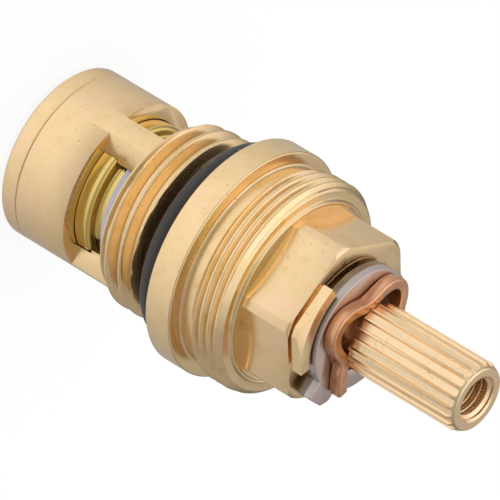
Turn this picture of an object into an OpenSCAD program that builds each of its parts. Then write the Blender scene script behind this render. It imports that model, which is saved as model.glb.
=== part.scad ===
// Ceramic disc tap cartridge, half-turn, 1/2 inch, with a splined stem.
// Axis along +Z with the stem up. The origin is the middle of the inlet seal's lower face.
// Millimetres. The stem turns about the axis: it stands here 20 degrees short of its shut stop.

/* [Inlet end] */
// Height of the free inlet seal, from its lower face to the fixed disc
seal_h = 3.3; // [3:0.1:4.5]
// How far the seal stands proud of the end ring
seal_stand = 0.4; // [0.2:0.1:0.5]
// Width of the seal's shoulder, held under the fixed disc
seal_shoulder_w = 0.6; // [0.3:0.1:0.8]
// Wall of the seal's lip
seal_wall = 1.2; // [0.8:0.1:1.6]
// Wall of the support ring inside the seal
support_wall = 0.6; // [0.4:0.1:0.9]
// How far the support ring stays back from the seal's lower face
support_back = 0.6; // [0.3:0.1:1.2]
// Height of the end ring that shows
ring_h = 2.1; // [1.6:0.1:2.3]
// Height of the end ring's lip, under the seal's shoulder
ring_lip_h = 1.1; // [0.8:0.1:1.3]
// Wall of the end ring's spigot, round the seal
ring_wall = 1; // [0.8:0.1:1.3]

/* [Cage] */
// Wall of the cage
cage_wall = 1.6; // [1.4:0.1:1.8]
// How much the cage narrows inside, above the driver
throat_step = 0.25; // [0.1:0.05:0.35]
// Step that takes the end ring's spigot
spigot_step = 0.5; // [0.3:0.1:0.7]
// Height of the outlet windows
window_h = 5.1; // [4.6:0.1:6]
// How far the three flats that open the windows cut inside the cage's bore
window_bite = 2.1; // [1.7:0.1:2.3]
// Number of windows
window_count = 3; // [3:1:4]
// Direction of the first window, degrees
window_turn = -62.5; // [-90:0.5:-30]

/* [Ceramic discs] */
// Thickness of each disc
disc_t = 2.85; // [2.4:0.05:3.4]
// Gap between the cage and the discs
disc_clear = 0.3; // [0.2:0.05:0.4]
// Inner radius of the kidney ports
port_in_r = 2.2; // [1.8:0.1:3]
// Rim left outside the kidney ports
port_rim = 1.4; // [1.2:0.1:2]
// Half the angle that a port spans, degrees
port_half = 62; // [40:1:66]
// Direction of the moving disc's port at rest, degrees
port_turn = 60; // [40:1:80]
// Width of the lugs that key the fixed disc
key_w = 3; // [2:0.1:4]
// How far those lugs reach into the cage
key_depth = 0.7; // [0.4:0.1:1]

/* [Tap thread] */
// Major diameter of the G 1/2 thread
tap_d = 20.955; // [20.5:0.005:21.5]
// Pitch of the G 1/2 thread
tap_pitch = 1.814; // [1.6:0.002:2]
// Depth of the G 1/2 thread
tap_depth = 1.162; // [0.9:0.002:1.2]
// Number of crests
tap_turns = 3; // [2:1:5]
// Plain lead below the first turn
tap_lead = 0.35; // [0.1:0.05:0.8]
// Length of the groove for the flange O-ring
relief_h = 3.26; // [3:0.02:4]
// Radius of that groove
relief_r = 8.8; // [8.5:0.05:9.1]
// Cord of the flange O-ring
flange_oring_cord = 2.65; // [2:0.05:2.8]

/* [Flange] */
// Diameter of the flange
flange_d = 25.5; // [25:0.1:28]
// Height of the flange
flange_h = 3.25; // [2.5:0.05:4]

/* [Sleeve thread] */
// Length of the hollow neck above the flange
neck_h = 1.85; // [1.4:0.05:3]
// Radius of the neck where it is thinnest
neck_r = 11.1; // [10.8:0.05:11.3]
// Major diameter of the M24 x 1 thread
cover_d = 24; // [23.8:0.05:24.6]
// Pitch of the M24 x 1 thread
cover_pitch = 1; // [0.8:0.05:1.2]
// Number of full crests
cover_turns = 3; // [2:1:5]
// Radial size of the chamfer at the thread's end
cover_chamfer = 0.75; // [0.3:0.05:0.85]
// Height of the raised lip round the hexagon's foot
lip_h = 0.35; // [0.2:0.05:0.6]
// Radius of that lip
lip_r = 10.15; // [10.1:0.05:10.6]
// Depth of the groove between that lip and the hexagon
foot_drop = 0.28; // [0.1:0.02:0.5]

/* [Hexagon and stop] */
// Width across the hexagon's flats
hex_af = 17; // [16.8:0.1:17.4]
// Height of the hexagon
hex_h = 6.7; // [6:0.05:9]
// Turn of the hexagon's first corner, degrees
hex_turn = -7.5; // [-30:0.5:30]
// How much the hexagon's corners are turned down
hex_blunt = 0.3; // [0.05:0.05:0.4]
// Chamfer at the hexagon's front corners
hex_chamfer = 0.3; // [0.1:0.05:0.5]
// Height of the stop lug
lug_h = 1.7; // [1.5:0.05:1.9]
// Height of the slot under the lug
lug_slot = 0.5; // [0.3:0.05:0.7]
// Width of the neck that carries the lug, inside that slot
lug_neck_w = 0.5; // [0.4:0.05:0.8]
// Gap between the stop washer's rim and the lug
lug_gap = 0.3; // [0.2:0.05:0.4]
// Width of the lug's flat top
lug_top_w = 1.35; // [1.2:0.05:1.5]
// Slope of the lug's chamfer, degrees
lug_bevel = 30; // [20:1:40]
// Angle that the lug spans, degrees
lug_span = 69; // [50:1:70]

/* [Stem] */
// Step from the journal out to the stem
stem_step = 1.1; // [0.9:0.05:1.2]
// Step from the washer's seat out to the journal
journal_step = 0.3; // [0.15:0.05:0.4]
// Length of the upper bearing
journal_h = 5; // [4:0.1:7]
// Height of the driver flange
driver_h = 1.95; // [1.5:0.05:2.2]
// Radius of the driver's rounded rim
driver_round = 0.5; // [0.2:0.05:0.6]
// Step from the stem out to the neck above the driver
shoulder_step = 0.7; // [0.5:0.05:1]
// Distance from the axis to the flat that opens the driver above the port
driver_flat = 2.6; // [2.4:0.1:3.4]
// Height of the thrust collar left above that flat
thrust_h = 0.5; // [0.3:0.05:0.8]
// Width of the driver's two dogs
dog_w = 2.4; // [1.8:0.1:2.8]
// Depth of the dogs in the moving disc
dog_h = 1.4; // [1:0.1:1.8]
// Height of the slide ring
slide_h = 2; // [1.2:0.1:2.2]
// Width of the slide ring
slide_w = 1.46; // [1.2:0.02:1.6]
// Gap between the slide ring and the cage
slide_clear = 0.25; // [0.15:0.05:0.35]
// Cord of the two stem O-rings
stem_oring_cord = 1.5; // [1.2:0.05:1.6]
// Height of the lower stem O-ring above the bore's foot
oring_low = 6; // [4:0.1:8]
// Spacing of the two stem O-rings
oring_step = 5; // [3:0.1:7]

/* [Stop washer and clip] */
// Thickness of the stop washer
washer_t = 1.65; // [1.4:0.05:1.9]
// Gap between the hexagon's face and the stop washer
washer_lift = 0.55; // [0.4:0.05:0.7]
// Width of the stop washer outside its seat
washer_w = 2.35; // [2.1:0.05:2.5]
// How far its tabs reach past its rim
tab_h = 1.75; // [1.4:0.05:2]
// Distance from a tab's middle line to its stop face
tab_side = 1.75; // [1.4:0.05:2]
// Step from the spline out to the two-flatted seat for the washer
seat_step = 0.7; // [0.65:0.05:0.9]
// Depth of that seat's flats
seat_flat_depth = 0.6; // [0.4:0.05:0.6]
// Turn from the rest pose to the shut stop, degrees
turn_shut = 20; // [5:1:40]
// Turn from the rest pose to the open stop, degrees
turn_open = 160; // [140:1:175]
// Height of the retaining clip
clip_h = 1.4; // [1.1:0.05:1.8]
// Width of the clip's strip
clip_w = 1.2; // [0.8:0.05:1.4]
// How far the clip's lobes reach past its necks
clip_lobe_h = 1.9; // [1.5:0.05:2.2]
// Angle from one neck of the clip to the next, degrees
clip_step = 101; // [95:1:110]
// How much further its open ends reach
clip_flare = 0.9; // [0.4:0.05:1.2]
// Direction of the opening, degrees
clip_turn = 52; // [30:1:60]
// Half the angle that the opening takes, degrees
clip_open_half = 42; // [36:1:50]

/* [Spline] */
// Diameter over the spline's teeth
spline_d = 7.8; // [7.6:0.02:7.88]
// Number of teeth
spline_teeth = 20; // [16:1:24]
// Depth of the grooves between the teeth
spline_depth = 0.4; // [0.2:0.02:0.45]
// Width of a groove at its mouth
spline_mouth = 0.94; // [0.8:0.02:1]
// Width of a groove at its floor
spline_floor = 0.56; // [0.4:0.02:0.7]
// Turn of the first groove at rest, degrees
spline_turn = 8; // [-9:0.5:9]
// Length of the splined end
spline_h = 13.95; // [10:0.05:20]
// Length of the chamfer at its tip
tip_h = 0.8; // [0.4:0.05:1.2]
// Radius of the tip's flat end
tip_r = 3.46; // [3.2:0.02:3.6]
// Radius of the tapped hole for the handle screw
screw_r = 2.1; // [1.6:0.05:2.3]
// Depth of the tapped hole
screw_h = 11; // [8:0.5:14]

/* [Clearances] */
// Radial running gap of the stem in its bores
run_gap = 0.04; // [0.02:0.01:0.08]
// Gap between pieces that are seated on each other
seat_gap = 0.02; // [0.01:0.01:0.05]
// Axial gap beside faces that turn past each other
face_gap = 0.05; // [0.02:0.01:0.1]
// Gap left at each stop, degrees
stop_gap = 0.3; // [0.1:0.1:1]
// Small broken edge on turned corners
edge = 0.12; // [0.05:0.01:0.2]

/* [Hidden] */
$fn = 96;
// Overrun of every cut
over = 1;
// Full turn, in degrees
turn = 360;

// Radii, from the spline out: each piece passes over the one inside it
spline_r = spline_d / 2;
spline_root_r = spline_r - spline_depth;
seat_r = spline_r + seat_step;
journal_r = seat_r + journal_step;
stem_r = journal_r + stem_step;
bore_r = stem_r + run_gap;
guide_r = journal_r + run_gap;
shoulder_r = stem_r + shoulder_step;
slide_r = bore_r + slide_w;
throat_r = slide_r + slide_clear;
cage_in_r = throat_r + throat_step;
cage_r = cage_in_r + cage_wall;
cage_d = 2 * cage_r;
spigot_r = cage_in_r + spigot_step;
seal_shoulder_r = spigot_r - ring_wall;
seal_lip_r = seal_shoulder_r - seal_shoulder_w;
seal_bore_r = seal_lip_r - seal_wall;
disc_r = cage_in_r - disc_clear;
port_out_r = disc_r - port_rim;
window_flat = cage_in_r - window_bite;
washer_r = seat_r + washer_w;
tab_reach = washer_r + tab_h;
seat_flats = 2 * (seat_r - seat_flat_depth);
clip_groove_r = spline_root_r - seat_gap * 2;
clip_neck_r = clip_groove_r + seat_gap * 2 + clip_w / 2;
clip_lobe_r = clip_neck_r + clip_lobe_h;
oring_root_r = stem_r - stem_oring_cord;

// Inlet end and discs, from the seal's lower face up
ring_z = seal_stand;
cage_z = ring_z + ring_h;
ledge_z = ring_z + ring_lip_h;
fixed_z = seal_h;
moving_z = fixed_z + disc_t + seat_gap;
driver_z = moving_z + disc_t + seat_gap;
window_z = driver_z + face_gap;
house_z = window_z + window_h;
bearing_z = house_z + edge;

// Housing, from the foot of the G 1/2 thread up
tap_r = tap_d / 2;
tap_root_r = tap_r - tap_depth;
tap_z = house_z + tap_lead;
relief_z = tap_z + tap_turns * tap_pitch;
flange_z = relief_z + relief_h;
flange_r = flange_d / 2;
neck_z = flange_z + flange_h;
cover_z = neck_z + neck_h;
cover_r = cover_d / 2;
cover_depth = cover_pitch * 0.5413;
cover_root_r = cover_r - cover_depth;
land_z = cover_z + cover_turns * cover_pitch;
land_h = cover_pitch / 2;
collar_z = land_z + land_h + cover_chamfer * 0.77;
hex_z = collar_z - foot_drop;
groove_r = lip_r - (lip_h + foot_drop) / 2;
front_z = hex_z + hex_h;
hex_r = hex_af / 2 / cos(30);
hex_end_r = hex_r - hex_blunt;
step_z = front_z - journal_h;

// Stop: the washer's tabs meet the lug's two ends
lug_in_r = washer_r + lug_gap;
lug_flat_r = lug_in_r + lug_top_w;
lug_end_h = lug_h - (hex_end_r - lug_flat_r) * tan(lug_bevel);
tab_angle = asin(tab_side / lug_in_r);
lug_high = -(turn_shut + tab_angle + stop_gap);
lug_low = lug_high - lug_span;
tab2_turn = turn + lug_low - turn_open - tab_angle - stop_gap;

// Stem, from the driver up
driver_r = cage_in_r - run_gap * 2;
slide_z = bearing_z - seat_gap - slide_h;
shoulder_z = slide_z - face_gap;
stem_top = step_z - face_gap * 4;
washer_z = front_z + washer_lift;
clip_z = washer_z + washer_t + face_gap;
spline_z = clip_z + clip_h + face_gap;
tip_z = spline_z + spline_h;

// A crest of the tap thread takes a sixth of the pitch, its flanks a third each
tap_shares = [-1 / 2, -5 / 12, -1 / 12, 1 / 12, 5 / 12];
// A crest of the sleeve thread takes an eighth of the pitch
cover_shares = [-1 / 2, -3 / 8, -1 / 16, 1 / 16, 3 / 8];

// Points of a thread drawn as rings: root, flank, crest, flank for each turn
function thread_points(z, turns, pitch, root, crest, shares) = [
    for (i = [0:turns - 1], j = [0:len(shares) - 1])
        [j == 2 || j == 3 ? crest : root, z + pitch * (i + 1 / 2 + shares[j])]
];

// Points of an arc about a centre, in the plane of a turned profile
function arc_points(c, r, a0, a1, n = 8) = [
    for (i = [0:n]) [c[0] + r * cos(a0 + (a1 - a0) * i / n), c[1] + r * sin(a0 + (a1 - a0) * i / n)]
];

// A solid ring between two radii
module ring(r_in, r_out, z, h) {
    translate([0, 0, z])
        difference() {
            cylinder(r = r_out, h = h);
            translate([0, 0, -over]) cylinder(r = r_in, h = h + 2 * over);
        }
}

// An O-ring lying on a shaft
module oring(shaft_r, cord, z) {
    translate([0, 0, z])
        rotate_extrude()
            translate([shaft_r + cord / 2, 0]) circle(d = cord, $fn = 32);
}

// A wedge between two directions, used to cut sectors
module sector(a0, a1, r, z, h) {
    steps = 8;
    reach = r / cos((a1 - a0) / steps / 2);
    translate([0, 0, z])
        linear_extrude(h)
            polygon(concat([[0, 0]], [for (i = [0:steps]) let (a = a0 + (a1 - a0) * i / steps)
                [reach * cos(a), reach * sin(a)]]));
}

// A kidney port through a disc
module port(turn_to, z, h) {
    intersection() {
        ring(port_in_r, port_out_r, z, h);
        sector(turn_to - port_half, turn_to + port_half, port_out_r + over, z - over, h + 2 * over);
    }
}

// Housing: cage, G 1/2 thread, flange, sleeve thread and the collar under the hexagon
module housing_blank() {
    rotate_extrude()
        polygon([[0, cage_z], [cage_r - edge, cage_z], [cage_r, cage_z + edge], [cage_r, tap_z],
            [0, tap_z]]);
    rotate_extrude()
        polygon(concat(
            [[0, house_z], [tap_root_r, house_z]],
            thread_points(tap_z, tap_turns, tap_pitch, tap_root_r, tap_r, tap_shares),
            [[tap_root_r, relief_z], [relief_r, relief_z + (tap_root_r - relief_r)], [relief_r, flange_z],
                [flange_r - edge, flange_z], [flange_r, flange_z + edge],
                [flange_r, neck_z - edge], [flange_r - edge, neck_z]],
            hollow_points(),
            thread_points(cover_z, cover_turns, cover_pitch, cover_root_r, cover_r, cover_shares),
            [[cover_root_r, land_z], [cover_r, land_z + land_h * 5 / 8], [cover_r, land_z + land_h],
                [cover_r - cover_chamfer, collar_z], [lip_r, collar_z + lip_h], [groove_r, hex_z],
                [0, hex_z]]
        ));
}

// The hollow neck: an arc from the flange's face up to the root of the sleeve thread
function hollow_points() = let (
        half = neck_h / 2,
        sag = cover_root_r - neck_r,
        big = (half * half + sag * sag) / (2 * sag),
        swing = asin(half / big)
    ) arc_points([neck_r + big, neck_z + half], big, 180 + swing, 180 - swing);

module hexagon() {
    intersection() {
        rotate([0, 0, hex_turn])
            translate([0, 0, hex_z - edge]) cylinder(r = hex_r, h = hex_h + edge, $fn = 6);
        rotate_extrude()
            polygon([[0, hex_z - over], [hex_end_r, hex_z - over], [hex_end_r, front_z - hex_chamfer],
                [hex_end_r - hex_chamfer, front_z], [0, front_z]]);
    }
}

// Stop lug: what is left of the hexagon outside the washer's rim, above a slot
module stop_lug() {
    intersection() {
        rotate([0, 0, hex_turn])
            translate([0, 0, front_z - edge]) cylinder(r = hex_r, h = lug_h + 2 * edge, $fn = 6);
        rotate_extrude()
            polygon([[lug_in_r, front_z - over], [lug_in_r + lug_neck_w, front_z - over],
                [lug_in_r + lug_neck_w, front_z + lug_slot], [hex_end_r, front_z + lug_slot],
                [hex_end_r, front_z + lug_end_h], [lug_flat_r, front_z + lug_h], [lug_in_r, front_z + lug_h]]);
        sector(lug_low, lug_high, hex_r, front_z - over, lug_h + 2 * over);
    }
}

// The three flats that open the cage
module window_cuts() {
    for (i = [0:window_count - 1])
        rotate([0, 0, window_turn + turn / window_count * i])
            translate([window_flat, -cage_d, window_z]) cube([cage_d, 2 * cage_d, window_h]);
}

// Grooves inside the cage for the fixed disc's lugs
module key_slot(reach, w, z, h) {
    for (s = [-1, 1])
        rotate([0, 0, port_turn + turn_open + s * 90])
            translate([0, -w / 2, z]) cube([reach, w, h]);
}

module cage_bore() {
    translate([0, 0, cage_z - over]) cylinder(r = cage_in_r, h = driver_z + driver_h - cage_z + over);
    translate([0, 0, cage_z]) cylinder(r = throat_r, h = bearing_z - cage_z);
    translate([0, 0, cage_z - over]) cylinder(r = spigot_r, h = fixed_z - cage_z + over);
    key_slot(cage_in_r + key_depth, key_w + 2 * face_gap, fixed_z - over, disc_t + over);
}

module stem_bore() {
    translate([0, 0, cage_z]) cylinder(r = bore_r, h = step_z - cage_z);
    translate([0, 0, cage_z]) cylinder(r = guide_r, h = front_z - cage_z + over);
}

module body() color("goldenrod")
    difference() {
        union() {
            difference() {
                housing_blank();
                window_cuts();
            }
            hexagon();
            stop_lug();
        }
        cage_bore();
        stem_bore();
    }

module end_ring() color("goldenrod")
    rotate_extrude()
        polygon([[seal_lip_r + seat_gap, ring_z], [cage_r - 2 * edge, ring_z], [cage_r, ring_z + 2 * edge],
            [cage_r, cage_z - edge], [cage_r - edge, cage_z - seat_gap], [spigot_r - seat_gap, cage_z - seat_gap],
            [spigot_r - seat_gap, fixed_z - seat_gap], [seal_shoulder_r + seat_gap, fixed_z - seat_gap],
            [seal_shoulder_r + seat_gap, ledge_z], [seal_lip_r + seat_gap, ledge_z]]);

module inlet_seal() color("dimgray")
    rotate_extrude()
        polygon([[seal_bore_r + edge, 0], [seal_lip_r - 2 * edge, 0], [seal_lip_r, 2 * edge],
            [seal_lip_r, ledge_z + seat_gap], [seal_shoulder_r, ledge_z + seat_gap],
            [seal_shoulder_r, fixed_z - seat_gap], [seal_bore_r, fixed_z - seat_gap], [seal_bore_r, edge]]);

module seal_support_ring() color("whitesmoke")
    ring(seal_bore_r - seat_gap - support_wall, seal_bore_r - seat_gap, support_back,
        fixed_z - seat_gap - support_back);

module fixed_disc() color("white")
    difference() {
        union() {
            translate([0, 0, fixed_z]) cylinder(r = disc_r, h = disc_t);
            key_slot(cage_in_r + key_depth - disc_clear, key_w, fixed_z, disc_t - face_gap);
        }
        port(port_turn + turn_open, fixed_z - over, disc_t + 2 * over);
    }

// The two dogs of the driver, and with extra all round the slots that take them
module dogs(extra, reach) {
    for (s = [-1, 1])
        rotate([0, 0, port_turn + s * 90])
            translate([disc_r / 2 - extra, -dog_w / 2 - extra, driver_z - dog_h - extra])
                cube([reach - disc_r / 2 + extra, dog_w + 2 * extra, dog_h + extra + edge]);
}

module moving_disc() color("ivory")
    difference() {
        translate([0, 0, moving_z]) cylinder(r = disc_r, h = disc_t);
        port(port_turn, moving_z - over, disc_t + 2 * over);
        dogs(face_gap, disc_r + over);
    }

// Turned profile of the stem up to the washer's seat
function stem_points() = concat(
    [[0, driver_z], [driver_r, driver_z]],
    arc_points([driver_r - driver_round, driver_z + driver_h - driver_round], driver_round, 0, 90, 6),
    arc_points([shoulder_r + driver_round, driver_z + driver_h + driver_round], driver_round, 270, 180, 6),
    [[shoulder_r, shoulder_z], [stem_r, shoulder_z]],
    oring_groove(house_z + oring_low),
    oring_groove(house_z + oring_low + oring_step),
    [[stem_r, stem_top - edge], [stem_r - edge, stem_top], [journal_r, stem_top], [journal_r, washer_z],
        [0, washer_z]]
);

function oring_groove(z) = let (half = stem_oring_cord / 2 + 2 * face_gap)
    [[stem_r, z - half], [oring_root_r, z - half], [oring_root_r, z + half], [stem_r, z + half]];

// Seat with two flats, which turns the stop washer; gap widens it for the washer's hole
module seat(z, h, gap) {
    intersection() {
        translate([0, 0, z]) cylinder(r = seat_r + gap, h = h);
        translate([-cage_d / 2, -seat_flats / 2 - gap, z]) cube([cage_d, seat_flats + 2 * gap, h]);
    }
}

// Splined end: narrow ridges between broad grooves, a conical tip and the tapped hole
module splined_end() {
    difference() {
        translate([0, 0, spline_z]) cylinder(r = spline_r, h = spline_h);
        for (i = [0:spline_teeth - 1])
            rotate([0, 0, spline_turn + turn / spline_teeth * i])
                translate([0, 0, spline_z - over])
                    linear_extrude(spline_h + 2 * over)
                        polygon([[spline_root_r, -spline_floor / 2], [spline_root_r, spline_floor / 2],
                            [spline_r + edge, spline_mouth / 2], [spline_r + edge, -spline_mouth / 2]]);
        rotate_extrude()
            polygon([[spline_r, tip_z - tip_h], [spline_r + over, tip_z - tip_h],
                [spline_r + over, tip_z + over], [tip_r, tip_z + over], [tip_r, tip_z]]);
    }
}

module spindle() color("darkgoldenrod")
    difference() {
        union() {
            difference() {
                union() {
                    rotate_extrude() polygon(stem_points());
                    seat(washer_z, washer_t + face_gap, 0);
                }
                driver_opening();
            }
            dogs(0, disc_r - face_gap);
            translate([0, 0, washer_z]) cylinder(r = clip_groove_r, h = tip_z - tip_h - washer_z);
            splined_end();
        }
        rotate_extrude()
            polygon([[0, tip_z - screw_h - screw_r / 2], [screw_r, tip_z - screw_h],
                [screw_r, tip_z + over], [0, tip_z + over]]);
    }

// The flat that lets water out of the moving disc's port, past the driver
module driver_opening() {
    rotate([0, 0, port_turn])
        translate([driver_flat, -cage_d, driver_z - over])
            cube([cage_d, 2 * cage_d, shoulder_z - thrust_h - driver_z + over]);
}

module slide_ring() color("gainsboro")
    ring(bore_r, slide_r, slide_z, slide_h);

module stem_oring_lower() color("black")
    oring(oring_root_r, stem_oring_cord, house_z + oring_low);

module stem_oring_upper() color("black")
    oring(oring_root_r, stem_oring_cord, house_z + oring_low + oring_step);

module flange_oring() color("black")
    oring(relief_r + seat_gap, flange_oring_cord, flange_z - flange_oring_cord / 2 - seat_gap);

// One tab: a flat stop face on one side, a slanted shoulder on the other; hand swaps the sides
module tab(hand) {
    root = washer_r - tab_side;
    translate([0, 0, washer_z])
        linear_extrude(washer_t)
            polygon([[root, -hand * tab_side], [tab_reach, -hand * tab_side],
                [tab_reach, hand * tab_side / 2], [(washer_r + tab_reach) / 2, hand * tab_side],
                [root, hand * tab_side]]);
}

module stop_washer() color("slategray")
    difference() {
        union() {
            translate([0, 0, washer_z]) cylinder(r = washer_r, h = washer_t);
            tab(1);
            rotate([0, 0, tab2_turn]) tab(-1);
        }
        seat(washer_z - over, washer_t + 2 * over, face_gap);
    }

// Middle line of the clip: a neck opposite the opening, a lobe and a neck on each side, then the open ends
function clip_r(a) = let (
        mid = (clip_lobe_r + clip_neck_r) / 2,
        swing = (clip_lobe_r - clip_neck_r) / 2,
        last_neck = turn / 2 - clip_step,
        near = max(0, (last_neck - abs(a)) / (last_neck - clip_open_half))
    ) mid - swing * cos(turn / clip_step * (turn / 2 - abs(a))) + clip_flare * near * near;

function clip_point(a) = clip_r(a) * [cos(a + clip_turn), sin(a + clip_turn)];

// Unit vector square to the middle line
function clip_side(a) = let (
        d = clip_point(a + 1) - clip_point(a - 1)
    ) [d[1], -d[0]] / norm(d);

module retaining_clip() color("peru")
    translate([0, 0, clip_z])
        linear_extrude(clip_h) {
            steps = 90;
            span = turn - 2 * clip_open_half;
            angles = [for (i = [0:steps]) clip_open_half + span * i / steps - turn];
            polygon(concat(
                [for (a = angles) clip_point(wrap(a)) + clip_side(wrap(a)) * clip_w / 2],
                [for (i = [0:steps]) let (a = angles[steps - i])
                    clip_point(wrap(a)) - clip_side(wrap(a)) * clip_w / 2]
            ));
        }

// Angle brought to between minus and plus half a turn
function wrap(a) = a < -turn / 2 ? a + turn : a;

body();
end_ring();
inlet_seal();
seal_support_ring();
fixed_disc();
moving_disc();
spindle();
slide_ring();
stem_oring_lower();
stem_oring_upper();
flange_oring();
stop_washer();
retaining_clip();
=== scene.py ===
# %% [markdown]
# # A brass tap cartridge
# This lesson dresses a half-turn ceramic disc cartridge, the part that opens and shuts a 1/2 inch tap.
# A CAD model already holds every size and every fit. Here Blender adds what a CAD model leaves out:
# threads that really climb, broken edges that catch the light, and metals with their own finish.
# The frame is loaded first, and nothing in it is ever moved.

# %% Load the frame
import math

import bmesh
import bpy
import numpy as np
from mathutils import Matrix, Vector


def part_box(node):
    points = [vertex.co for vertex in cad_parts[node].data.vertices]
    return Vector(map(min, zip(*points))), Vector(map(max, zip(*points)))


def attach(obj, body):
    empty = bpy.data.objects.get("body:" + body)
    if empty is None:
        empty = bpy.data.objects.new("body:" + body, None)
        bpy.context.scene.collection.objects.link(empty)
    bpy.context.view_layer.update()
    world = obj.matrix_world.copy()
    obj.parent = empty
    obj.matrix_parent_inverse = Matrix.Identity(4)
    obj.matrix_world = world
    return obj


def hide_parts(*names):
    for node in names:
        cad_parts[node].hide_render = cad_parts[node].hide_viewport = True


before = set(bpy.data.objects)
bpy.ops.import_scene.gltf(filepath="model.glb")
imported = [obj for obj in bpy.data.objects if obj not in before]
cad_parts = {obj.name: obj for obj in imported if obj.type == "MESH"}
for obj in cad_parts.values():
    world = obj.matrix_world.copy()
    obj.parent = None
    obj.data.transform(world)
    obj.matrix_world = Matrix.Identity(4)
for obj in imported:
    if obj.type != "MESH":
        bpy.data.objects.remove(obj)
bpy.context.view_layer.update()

# %% [markdown]
# ## Heights, read from the frame
# A turned part is drawn along its axis, so the drawing starts with a list of heights.
# Most of them are read from the boxes of the CAD pieces, which keeps this script true to the model.
# The rest are the gaps and steps that a box can't show. Everything is in millimetres until a mesh is made.

# %% Heights along the axis
MM = 0.001
SEAT_GAP = 0.02
FACE_GAP = 0.05
EDGE = 0.12
DRIVER_H = 1.95
WASHER_LIFT = 0.55


def low(node):
    """Lowest height of a CAD node, in millimetres."""
    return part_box(node)[0][2] / MM


def high(node):
    """Highest height of a CAD node, in millimetres."""
    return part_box(node)[1][2] / MM


ring_foot = low("end_ring")
cage_foot = low("body")
disc_foot = low("fixed_disc")
driver_foot = high("moving_disc") + SEAT_GAP
window_foot = driver_foot + FACE_GAP
bearing_face = high("slide_ring") + SEAT_GAP
housing_foot = bearing_face - EDGE
flange_foot = high("flange_oring") + SEAT_GAP
front_face = low("stop_washer") - WASHER_LIFT
lug_top = high("body")
washer_foot = low("stop_washer")
washer_top = high("stop_washer")
clip_foot = low("retaining_clip")
clip_top = high("retaining_clip")
spline_foot = clip_top + FACE_GAP
tip_face = high("spindle")
print("flange foot", round(flange_foot, 3), "front face", round(front_face, 3), "tip", round(tip_face, 3))

# %% [markdown]
# ## The camera and the plain studio
# The photograph looks down at the upright part by thirty degrees, and the camera is rolled so that the
# stem points to the lower right. It was taken from far away, so a long lens keeps the threads parallel.
# Setting the camera first means that every later piece can be judged from the real viewpoint.

# %% Camera
CAMERA_PLACE = Vector((-1.124, -877.06, 529.53))
CAMERA_RIGHT = Vector((-0.5154, 0.4272, 0.7429))
CAMERA_UP = Vector((-0.8569, -0.2569, -0.4468))
CAMERA_BACK = Vector((0.0, -0.8669, 0.4985))
LENS = 720
SENSOR = 36

camera_data = bpy.data.cameras.new("camera")
camera_data.lens = LENS
camera_data.sensor_width = SENSOR
camera_data.clip_start = 0.05
camera_data.clip_end = 20
camera = bpy.data.objects.new("camera", camera_data)
bpy.context.scene.collection.objects.link(camera)
turned = Matrix((CAMERA_RIGHT, CAMERA_UP, CAMERA_BACK)).transposed().to_4x4()
camera.matrix_world = Matrix.Translation(CAMERA_PLACE * MM) @ turned
bpy.context.scene.camera = camera

# %% [markdown]
# ## Small helpers for node trees
# Every material and group below is a tree of nodes joined by links. Two short functions keep that readable:
# one adds a node and sets its values, the other links an output to an input.


# %% Node helpers
def put(tree, kind, values=None, **settings):
    """Adds a node. Settings are its own options, values are numbers or colours for its inputs."""
    node = tree.nodes.new(kind)
    for name, value in settings.items():
        setattr(node, name, value)
    for name, value in (values or {}).items():
        node.inputs[name].default_value = value
    return node


def join(tree, source, target):
    """Links an output socket to an input socket."""
    tree.links.new(source, target)


def maths(tree, operation, a, b=None, clamp=False):
    """A Math node. a and b are sockets or plain numbers. Returns its output."""
    node = put(tree, "ShaderNodeMath", operation=operation, use_clamp=clamp)
    for index, value in enumerate((a, b)):
        if value is None:
            continue
        if isinstance(value, (int, float)):
            node.inputs[index].default_value = value
        else:
            join(tree, value, node.inputs[index])
    return node.outputs[0]


# %% [markdown]
# ## The light
# Brass is a mirror that has been roughened, so it shows the room more than it shows the lamps.
# The photograph tells what that room is like. Faces turned to the viewer show a white table, faces turned
# away show a grey one, faces that look up and left show a large soft box, and hollow places are dark
# because the horizon and the room behind the camera are. The world draws those facts for metal only.
# The camera sees plain white, and the floor lets the metal look through to the world. To the camera the
# floor glows a little too, so the shadow it still catches stays light.

# %% World
FILL_LEVEL = 1.0
TABLE_RANGE = (0.42, 1.06)
HORIZON_LEVEL = 0.5
ROOM_LEVEL = 0.40
BOX_LEVEL = 0.98
ROOM_TINT = (0.92, 1.0, 0.92, 1)
TABLE_WAY = (-0.27, -0.96, 0.0)
BOX_WAY = (-0.42, 0.0, 0.91)


def facing(tree, vector, way):
    """How far a direction points along another one, from -1 to 1."""
    node = put(tree, "ShaderNodeVectorMath", operation="DOT_PRODUCT")
    join(tree, vector, node.inputs[0])
    node.inputs[1].default_value = way
    return node.outputs["Value"]


def ramp(tree, value, start, end, low_level, high_level, soft="SMOOTHSTEP"):
    """Maps a value from start..end to two levels."""
    node = put(tree, "ShaderNodeMapRange", {"From Min": start, "From Max": end, "To Min": low_level,
                                            "To Max": high_level}, interpolation_type=soft)
    join(tree, value, node.inputs["Value"])
    return node.outputs["Result"]


def blend(tree, factor, a, b):
    """A mix of two numbers. Each is a socket or a plain number."""
    node = put(tree, "ShaderNodeMix", data_type="FLOAT")
    join(tree, factor, node.inputs["Factor"])
    for name, value in (("A", a), ("B", b)):
        if isinstance(value, (int, float)):
            node.inputs[name].default_value = value
        else:
            join(tree, value, node.inputs[name])
    return node.outputs["Result"]


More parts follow.
